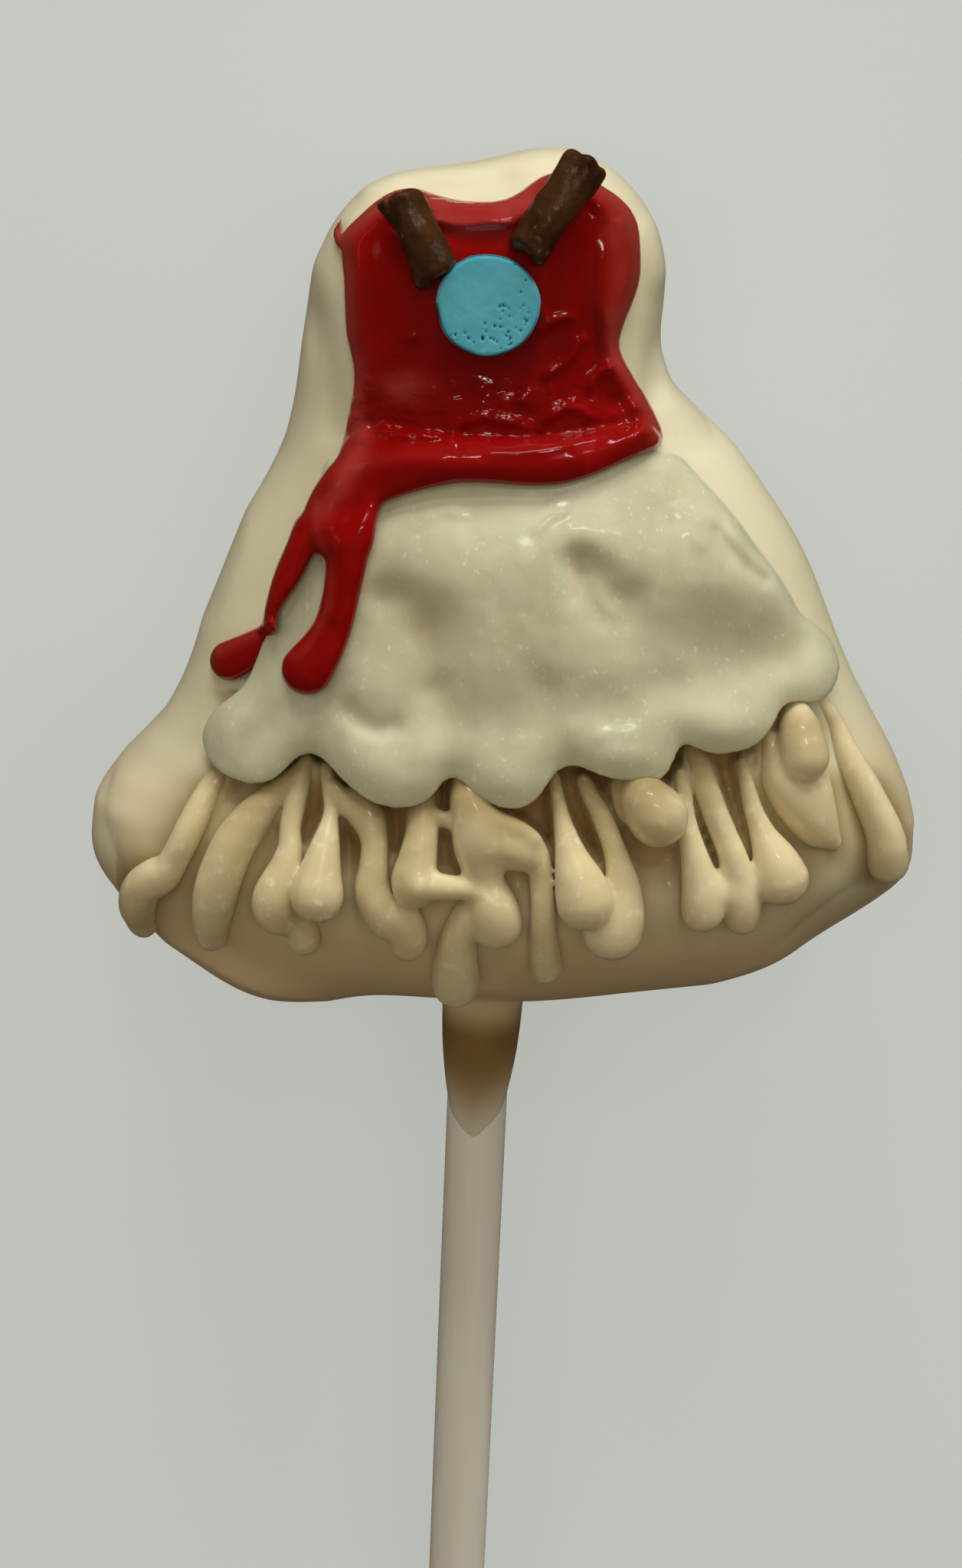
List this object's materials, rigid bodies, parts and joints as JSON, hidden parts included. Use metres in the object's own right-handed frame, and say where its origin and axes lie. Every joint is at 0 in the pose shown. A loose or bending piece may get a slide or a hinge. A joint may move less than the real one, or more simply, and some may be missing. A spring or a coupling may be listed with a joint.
{
  "type": "cake pop",
  "caption": "Dress-shaped cake pop in cream coating on a white paper stick, with an ivory icing apron, a red icing bodice and a piped fringe, lying on its back.",
  "frame": {"origin": "middle of the small flat spot on the back, on which the cake pop lies", "axes": "+Z out of the decorated front, +Y from the hem to the neckline, so the stick runs towards -Y; +X to the right of the front"},
  "size_m": [0.0527, 0.1756, 0.0303],
  "materials": {
    "coating": "cream candy coating, satin to glossy, with faint brush-like streaks",
    "paper_stick": "rolled white paper, matte",
    "ivory_icing": "thick ivory icing, satin, with fine pale specks",
    "red_icing": "deep red icing, wet gloss",
    "tan_icing": "piped tan icing, satin",
    "blue_confetti": "pressed sugar, matte, with small dark pits",
    "chocolate": "milk chocolate, satin, slightly rough"
  },
  "bodies": {
    "root": {"cake_body": "coating", "stick": "paper_stick", "apron": "ivory_icing", "bodice": "red_icing", "fringe_left": "tan_icing", "fringe_middle": "tan_icing", "fringe_right": "tan_icing", "fringe_edge": "tan_icing", "confetti_disc": "blue_confetti", "sprinkle_left": "chocolate", "sprinkle_right": "chocolate"}
  },
  "joints": []
}
